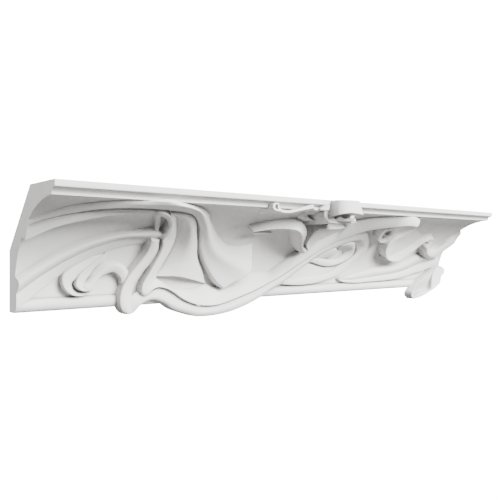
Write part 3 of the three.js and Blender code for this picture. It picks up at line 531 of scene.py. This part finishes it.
def lengths(vectors):
    """Length of each vector, on a last axis of one."""
    return np.linalg.norm(vectors, axis=-1, keepdims=True)


def round_border(front, back, radius):
    """Replaces the first and the last column by four each, which turn the corner between the
    side wall and the front on a quarter circle: corner + inward (1 - sin) + down (1 - cos)."""
    def corner(edge, inner, foot, foot_inner):
        inward = inner - edge
        down = foot - edge
        reach = np.minimum(radius, ROUND_SHARE * lengths(inward))
        deep = np.minimum(radius, ROUND_SHARE * lengths(down))
        inward = inward / np.maximum(lengths(inward), TINY) * reach
        down = down / np.maximum(lengths(down), TINY) * deep
        points = [edge + inward * (1 - math.sin(a)) + down * (1 - math.cos(a)) for a in CORNER_TURN]
        feet = [foot + (foot_inner - foot) * s for s in FOOT_SHARES]
        return points, feet

    first, first_feet = corner(front[:, 0], front[:, 1], back[:, 0], back[:, 1])
    last, last_feet = corner(front[:, -1], front[:, -2], back[:, -1], back[:, -2])
    round_front = np.stack(first + list(np.moveaxis(front[:, 1:-1], 1, 0)) + last[::-1], 1)
    round_back = np.stack(first_feet + list(np.moveaxis(back[:, 1:-1], 1, 0)) + last_feet[::-1], 1)
    return round_front, round_back


def round_edges(front, back, side_radius, end_radius):
    """Rounds the two long edges of a pair of grids, and then its two ends."""
    front, back = round_border(front, back, side_radius)
    front, back = round_border(np.swapaxes(front, 0, 1), np.swapaxes(back, 0, 1), end_radius)
    return np.swapaxes(front, 0, 1), np.swapaxes(back, 0, 1)


def strand_surface(rails, bulge, lean, bed=-BED):
    """A ribbon of relief, as a front and a back grid. Across it runs straight from rail to rail
    plus 4 w (1 - w) times the bulge; along it follows the rails' splines. Ridges are softened by
    averaging each column with its neighbours, one part to two to one. The back lies at the bed's
    height, and a leaning side wall runs square to the face plus the lean times level inwards."""
    sampled = sample_rails(rails, STATION)
    share = np.linspace(0, 1, len(sampled))
    columns = []
    for g in range(len(rails) - 1):
        a, b = sampled[:, g], sampled[:, g + 1]
        width = np.linalg.norm(on_face(*a.T) - on_face(*b.T), axis=-1).mean()
        steps = int(np.clip(round(width / COLUMN_WIDTH), FEWEST_COLUMNS, MOST_COLUMNS))
        extra = np.interp(share, np.linspace(0, 1, len(bulge[g])), bulge[g])
        for c in range(0 if g == 0 else 1, steps + 1):
            w = c / steps
            column = a * (1 - w) + b * w
            column[:, 2] += extra * 4 * w * (1 - w)
            columns.append(column)
    grid = np.stack(columns, 1)
    front = on_face(grid[..., 0], grid[..., 1], grid[..., 2])
    for _ in range(SOFTENING_ROUNDS):
        front[:, 1:-1] = (front[:, :-2] + 2 * front[:, 1:-1] + front[:, 2:]) / 4
    back = on_face(grid[..., 0], grid[..., 1], np.full(grid.shape[:2], float(bed)))
    for side, level in ((0, lean[0]), (-1, lean[1])):
        if level:
            fall = back[:, side] - front[:, side]
            reach = lengths(fall)
            way = fall / reach + [0, level, 0]
            way /= lengths(way)
            reach = np.where(grid[:, side, 2:] > 0, reach, 0)
            back[:, side] = front[:, side] + way * (reach * LEAN_REACH + BED)
    return round_edges(front, back, EDGE_ROUND, END_ROUND)


def crest_surface(rails, depth):
    """A curled sheet over the fascia: straight between two splines, run back level by a depth
    that changes evenly from one spline to the other."""
    sampled = sample_rails(rails, CREST_STATION)
    w = np.linspace(0, 1, CREST_COLUMNS)[None, :, None]
    sheet = sampled[:, :1] * (1 - w) + sampled[:, 1:] * w
    back_off = depth[0] * (1 - w) + depth[1] * w
    front = np.stack([sheet[..., 0], -sheet[..., 1], sheet[..., 2]], -1)
    back = front + np.concatenate([0 * back_off, back_off, 0 * back_off], -1)
    return round_edges(front, back, CREST_ROUND, CREST_ROUND)


def closed_shell(front, back):
    """Front and back grids joined round their borders into one closed skin of quads."""
    rows, cols = front.shape[:2]
    points = np.concatenate([front.reshape(-1, 3), back.reshape(-1, 3)])
    ids = np.arange(rows * cols).reshape(rows, cols)
    under = ids + rows * cols

    def quads(a, b, c, d):
        return np.stack([a, b, c, d], -1).reshape(-1, 4)

    faces = [
        quads(ids[:-1, :-1], ids[:-1, 1:], ids[1:, 1:], ids[1:, :-1]),
        quads(under[:-1, :-1], under[1:, :-1], under[1:, 1:], under[:-1, 1:]),
        quads(ids[:-1, 0], ids[1:, 0], under[1:, 0], under[:-1, 0]),
        quads(ids[:-1, -1], under[:-1, -1], under[1:, -1], ids[1:, -1]),
        quads(ids[0, :-1], under[0, :-1], under[0, 1:], ids[0, 1:]),
        quads(ids[-1, :-1], ids[-1, 1:], under[-1, 1:], under[-1, :-1]),
    ]
    return points, np.concatenate(faces)


def add_object(name, data):
    """Puts a mesh, a lamp or a camera into the scene, at the origin."""
    item = bpy.data.objects.new(name, data)
    bpy.context.scene.collection.objects.link(item)
    return item


def mesh_piece(name, points, faces):
    """Puts points and quads into a mesh object, turned to face outwards: the sum of the
    corners' triple products is six times the volume, and is negative when inside out."""
    a, b, c, d = [points[faces[:, k]] for k in range(4)]
    volume = (np.einsum("ij,ij->i", a, np.cross(b, c)) + np.einsum("ij,ij->i", a, np.cross(c, d))).sum()
    if volume < 0:
        faces = faces[:, ::-1]
    mesh = bpy.data.meshes.new(name)
    mesh.from_pydata(placed(points).tolist(), [], faces.tolist())
    return add_object(name, mesh)


def arc(centre, radius, start, stop, count):
    """Points on a circle in the section's plane, from one angle to another in degrees."""
    a = np.radians(np.linspace(start, stop, count))
    return np.stack([centre[0] + radius * np.cos(a), centre[1] + radius * np.sin(a)], -1)


def section_profile():
    """The plain moulding's section, [out, up]: wall foot, convex roll, groove, upright ground,
    elliptical cove, fillet, soft cavetto, fascia, ceiling seat, slanting back, wall seat."""
    foot = WALL_FOOT + [[ROLL_FOOT, 0]]
    roll = arc((ROLL_OUT - ROLL_UP, ROLL_UP), ROLL_UP, *ROLL_ARC, ROLL_POINTS)
    groove = np.array([GROUND_OUT, ROLL_TOP]) + GROOVE
    cove = on_cove(np.linspace(0, COVE_SWEEP, COVE_POINTS))
    fillet = np.array([FILLET_OUT, COVE_TOP]) + FILLET_EDGE
    cavetto = np.array([FILLET_OUT, CAVETTO_UNDER]) + CAVETTO_CURVE
    lower_edge = arc((PROJECTION - FASCIA_ROUND, FASCIA_UNDER + FASCIA_CENTRE), FASCIA_ROUND,
                     *FASCIA_ARC, FASCIA_POINTS)
    upper_edge = arc((PROJECTION - TOP_ROUND, HEIGHT - TOP_ROUND), TOP_ROUND, 0, 90, TOP_POINTS)
    seats = [[PROJECTION - CEILING_SEAT, HEIGHT], [0, WALL_SEAT]]
    return np.concatenate([foot, roll, groove, cove, fillet, cavetto, lower_edge, upper_edge, seats])


def moulding_ground():
    """The section carried along X between the two square-cut ends."""
    profile = section_profile()
    n = len(profile)
    ends = [np.concatenate([np.full((n, 1), x), -profile[:, :1], profile[:, 1:]], -1) for x in (0, LENGTH)]
    ids = np.arange(n)
    sides = np.stack([ids, np.roll(ids, -1), np.roll(ids, -1) + n, ids + n], -1)
    mesh = bpy.data.meshes.new("cornice_plaster")
    mesh.from_pydata(placed(np.concatenate(ends)).tolist(), [],
                     sides.tolist() + [ids[::-1].tolist(), (ids + n).tolist()])
    return add_object("cornice_plaster", mesh)


def limits_box():
    """The space that the relief keeps to: between the cut ends, in front of the wall, under the
    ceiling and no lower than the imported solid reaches."""
    lowest = (cad_box[0][2] - placed([0, 0, 0])[2]) * 1000
    corners = [[x, y, z] for x in (0, LENGTH) for y in (-FRONT_LIMIT, 0) for z in (lowest, HEIGHT)]
    faces = np.array([[0, 1, 3, 2], [4, 6, 7, 5], [0, 4, 5, 1], [2, 3, 7, 6], [0, 2, 6, 4], [1, 5, 7, 3]])
    return mesh_piece("limits", np.array(corners, float), faces)


def combine(piece, other, operation):
    """Joins or trims a piece by another closed piece and keeps the result as its mesh."""
    step = piece.modifiers.new(operation.lower(), "BOOLEAN")
    step.operation, step.object, step.solver = operation, other, "MANIFOLD"
    bpy.context.view_layer.update()
    result = bpy.data.meshes.new_from_object(piece.evaluated_get(bpy.context.evaluated_depsgraph_get()))
    piece.modifiers.clear()
    piece.data = result


def add_relief(cornice, limits, name, front, back):
    """Closes one form of the relief, trims it to the limits and joins it to the cornice."""
    form = mesh_piece(name, *closed_shell(front, back))
    combine(form, limits, "INTERSECT")
    combine(cornice, form, "UNION")
    bpy.data.objects.remove(form)


def carved_cornice():
    """The plain moulding with its strands and its crest, one closed skin."""
    cornice, limits = moulding_ground(), limits_box()
    for name, table in STRANDS.items():
        add_relief(cornice, limits, name, *strand_surface(**table))
    for name, table in CREST.items():
        add_relief(cornice, limits, name, *crest_surface(**table))
    bpy.data.objects.remove(limits)
    cornice.name = cornice.data.name = "cornice_plaster"
    cornice.data.shade_smooth()
    cornice.data.set_sharp_from_angle(angle=SHARP_ANGLE)
    return cornice


def linear(hex_colour):
    """sRGB hex to the linear colour that a shader socket takes."""
    values = [int(hex_colour[i:i + 2], 16) / 255 for i in (0, 2, 4)]
    return [v / 12.92 if v <= 0.04045 else ((v + 0.055) / 1.055) ** 2.4 for v in values] + [1.0]


def add_node(tree, kind, settings=None, **links):
    """Adds one shader node, sets its settings and joins its inputs to values or sockets. An
    input goes by its name, with _ for a space, or by _ and its number."""
    node = tree.nodes.new(kind)
    for key, value in (settings or {}).items():
        setattr(node, key, value)
    for key, value in links.items():
        socket = node.inputs[int(key[1:])] if key[1:].isdigit() else node.inputs[key.replace("_", " ")]
        if isinstance(value, bpy.types.NodeSocket):
            tree.links.new(value, socket)
        else:
            socket.default_value = value
    return node


CLOUDING, GRIT = 62.5, 10 / 9   # mm across
PAINTED_SHADE_REACH = 0.03               # metres: a wall further off than this brings no painted shade


def cast_gypsum_plaster():
    """Cast gypsum plaster: unpainted, dead matt and white. The mix gives a faint clouding and
    the mould a grit, drawn at about 1 mm. A grey painted into the recesses is painted shade that
    darkens the creases: it is darkest where the walls close by leave least open sky. The thin
    grey film in the recesses is a guess that darkens the creases: it is thickest where the walls
    close by leave least open sky."""
    material = bpy.data.materials.new("cast_gypsum_plaster")
    material.use_nodes = True
    tree = material.node_tree
    tree.nodes.clear()
    place = add_node(tree, "ShaderNodeTexCoord").outputs["Object"]
    cloud = add_node(tree, "ShaderNodeTexNoise", Vector=place, Scale=1000 / CLOUDING, Detail=3.0,
                     Roughness=0.5)
    tone = add_node(tree, "ShaderNodeValToRGB", Fac=cloud.outputs["Fac"])
    tone.color_ramp.elements[0].position, tone.color_ramp.elements[0].color = 0.3, linear("cfcecc")
    tone.color_ramp.elements[1].position, tone.color_ramp.elements[1].color = 0.7, linear("d5d4d2")
    grit = add_node(tree, "ShaderNodeTexNoise", Vector=place, Scale=1000 / GRIT, Detail=2.0, Roughness=0.6)
    bump = add_node(tree, "ShaderNodeBump", Height=grit.outputs["Fac"], Strength=0.06, Distance=0.0004)
    # Painted shade: the base colour is mixed towards a grey in creases and recesses, more where they are
    # more closed in
    shelter = add_node(tree, "ShaderNodeAmbientOcclusion", {"samples": 8}, Distance=PAINTED_SHADE_REACH)
    painted_shade_amount = add_node(tree, "ShaderNodeMapRange", Value=shelter.outputs["AO"], From_Min=0.15, From_Max=0.85,
                      To_Min=0.38, To_Max=0.0)
    colour_with_painted_shade = add_node(tree, "ShaderNodeMix", {"data_type": "RGBA"}, _0=painted_shade_amount.outputs["Result"],
                      _6=tone.outputs["Color"], _7=linear("6a6864"))
    shade = add_node(tree, "ShaderNodeBsdfPrincipled", Base_Color=colour_with_painted_shade.outputs[2],
                     Normal=bump.outputs["Normal"], Roughness=0.85, IOR=1.5)
    add_node(tree, "ShaderNodeOutputMaterial", Surface=shade.outputs["BSDF"])
    return material


cornice = carved_cornice()
cornice.data.materials.clear()
cornice.data.materials.append(cast_gypsum_plaster())
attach(cornice, "root")
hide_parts("cornice_section")

# The studio, in metres. Only the camera sees the room and the floor as white: the piece gets a
# weak light from the room, and from the floor what a mid grey one would give back.
WHITE_GROUND = 20.0             # strength that the camera sees behind and below the piece
AMBIENT = 0.03                  # strength of the room's light on the piece
FLOOR_GREY = "6a6a6a"
FLOOR_HALF, FLOOR_LEVEL = 12.0, -0.9
LAMP_SIZE = 1.8
LAMP_AIM = (0.0, -0.1, 0.0)
CAMERA_PLACE = (-329.817, -999.808, 100.941)    # mm, from the left end and the bottom edge
CAMERA_TURN = -40                               # degrees about the vertical, looking level
SENSOR, LENS = 36.0, 43.456                     # mm


def seen_or_felt(tree, seen, felt):
    """One value for what the camera sees and another for the light that falls on the piece."""
    path = add_node(tree, "ShaderNodeLightPath")
    return add_node(tree, "ShaderNodeMapRange", Value=path.outputs["Is Camera Ray"],
                    To_Min=felt, To_Max=seen).outputs["Result"]


def studio_floor():
    """A wide plain floor well below the piece: white to the camera, mid grey to all else."""
    mesh = bpy.data.meshes.new("studio_floor")
    sides = ((-1, -1), (1, -1), (1, 1), (-1, 1))
    mesh.from_pydata([(x * FLOOR_HALF, y * FLOOR_HALF, FLOOR_LEVEL) for x, y in sides], [], [(0, 1, 2, 3)])
    floor = add_object("studio_floor", mesh)
    material = bpy.data.materials.new("studio_floor_paint")
    material.use_nodes = True
    tree = material.node_tree
    shader = tree.nodes["Principled BSDF"]
    shader.inputs["Base Color"].default_value = linear(FLOOR_GREY)
    shader.inputs["Roughness"].default_value = 0.9
    shader.inputs["Emission Color"].default_value = (1, 1, 1, 1)
    tree.links.new(seen_or_felt(tree, WHITE_GROUND, 0.0), shader.inputs["Emission Strength"])
    mesh.materials.append(material)


def white_room():
    """The world: white to the camera, a weak even light to all else."""
    world = bpy.data.worlds.new("white_room")
    bpy.context.scene.world = world
    world.use_nodes = True
    tree = world.node_tree
    backdrop = tree.nodes["Background"]
    backdrop.inputs["Color"].default_value = (1, 1, 1, 1)
    tree.links.new(seen_or_felt(tree, WHITE_GROUND, AMBIENT), backdrop.inputs["Strength"])


def soft_light(name, place, power):
    """A square soft box that looks at the piece."""
    light = bpy.data.lights.new(name, "AREA")
    light.shape, light.size, light.energy = "SQUARE", LAMP_SIZE, power
    lamp = add_object(name, light)
    lamp.location = place
    way = np.array(LAMP_AIM) - np.array(place)
    lamp.rotation_euler = (math.atan2(math.hypot(way[0], way[1]), -way[2]), 0, math.atan2(-way[0], way[1]))


def photograph_camera():
    """A level camera at the photograph's place, worked out from the section's level lines and
    its square-cut left end."""
    camera_data = bpy.data.cameras.new("camera")
    camera_data.sensor_width, camera_data.lens = SENSOR, LENS
    camera = add_object("camera", camera_data)
    camera.location = placed(CAMERA_PLACE)
    camera.rotation_euler = (math.radians(90), 0, math.radians(CAMERA_TURN))
    bpy.context.scene.camera = camera


studio_floor()
white_room()
soft_light("key_light", (0.72, -2.78, 1.60), 610)
soft_light("left_fill", (-1.96, -1.23, 2.26), 45)
soft_light("end_light", (-2.86, 0.40, 1.35), 75)
photograph_camera()
